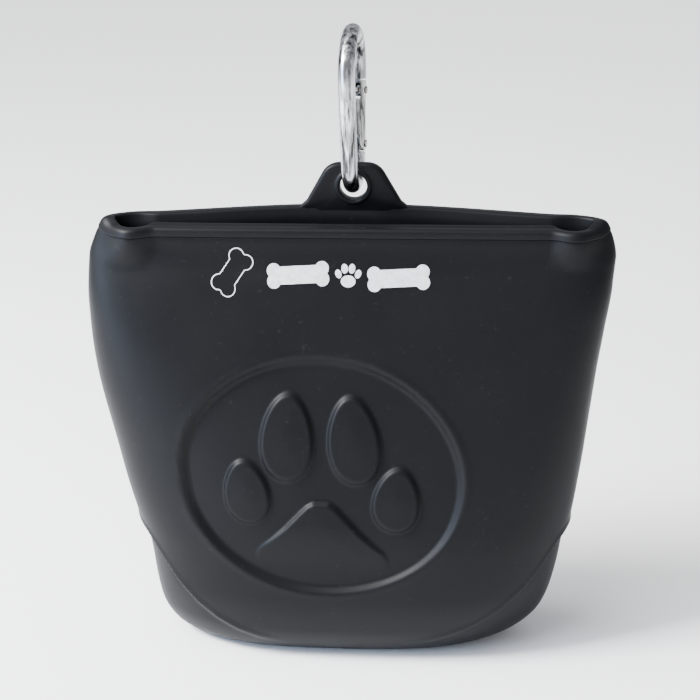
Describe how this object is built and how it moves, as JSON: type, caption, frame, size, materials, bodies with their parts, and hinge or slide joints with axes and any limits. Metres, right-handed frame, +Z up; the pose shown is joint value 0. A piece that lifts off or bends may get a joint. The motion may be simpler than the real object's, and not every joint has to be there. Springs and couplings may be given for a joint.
{
  "type": "silicone treat pouch with spring snap",
  "caption": "Soft silicone pouch with a magnet-held lens-shaped mouth, flat rounded base and a hanging tab that carries a small wire spring snap with a hinged gate.",
  "frame": {"origin": "middle of the bounding box in X and Y, on the flat base that the pouch stands on", "axes": "+Z up from the base to the snap; the front wall faces -Y; X runs along the mouth, with +X on the right seen from the front"},
  "size_m": [0.1335, 0.044, 0.163],
  "materials": {
    "silicone": "matte charcoal silicone",
    "magnet": "nickel plated block",
    "snap_wire": "bright zinc plated steel wire",
    "snap_gate": "bright zinc plated steel",
    "snap_pins": "plain steel",
    "spring_steel": "spring steel wire"
  },
  "bodies": {
    "pouch": {"pouch_shell": "silicone", "magnet_rear_left": "magnet", "magnet_rear_right": "magnet"},
    "front_flap": {"front_wall": "silicone", "magnet_front_left": "magnet", "magnet_front_right": "magnet"},
    "carabiner": {"carabiner_frame": "snap_wire"},
    "gate": {"gate": "snap_gate", "gate_hinge_rivet": "snap_pins", "latch_pin": "snap_pins", "gate_spring": "spring_steel"},
    "plunger": {"gate_plunger": "snap_pins"}
  },
  "joints": [
    {"name": "mouth_open", "type": "hinge", "parent": "pouch", "child": "front_flap", "pos_m": [0, -0.01579, 0.0025], "axis": [1, 0, 0], "range_deg": [0, 18], "stiffness_Nm_per_rad": 0.8, "springref_deg": -5.16},
    {"name": "carabiner_swing", "type": "hinge", "parent": "pouch", "child": "carabiner", "pos_m": [0, 0.00988, 0.1294], "axis": [0.9976, -0.0698, 0], "range_deg": [-55, 75]},
    {"name": "gate_open", "type": "hinge", "parent": "carabiner", "child": "gate", "pos_m": [0.00051, 0.01716, 0.131], "axis": [0.9976, -0.0698, 0], "range_deg": [0, 28], "stiffness_Nm_per_rad": 0.03, "springref_deg": -34.38, "deforming": ["gate_spring"]},
    {"name": "gate_plunger_slide", "type": "slide", "parent": "gate", "child": "plunger", "axis": [0.0097, 0.1392, 0.9902], "range_m": [0, 0.0006]}
  ],
  "couplings": [
    {"joint": "gate_plunger_slide", "follows": "gate_open", "m_per_rad": 0.0011}
  ]
}
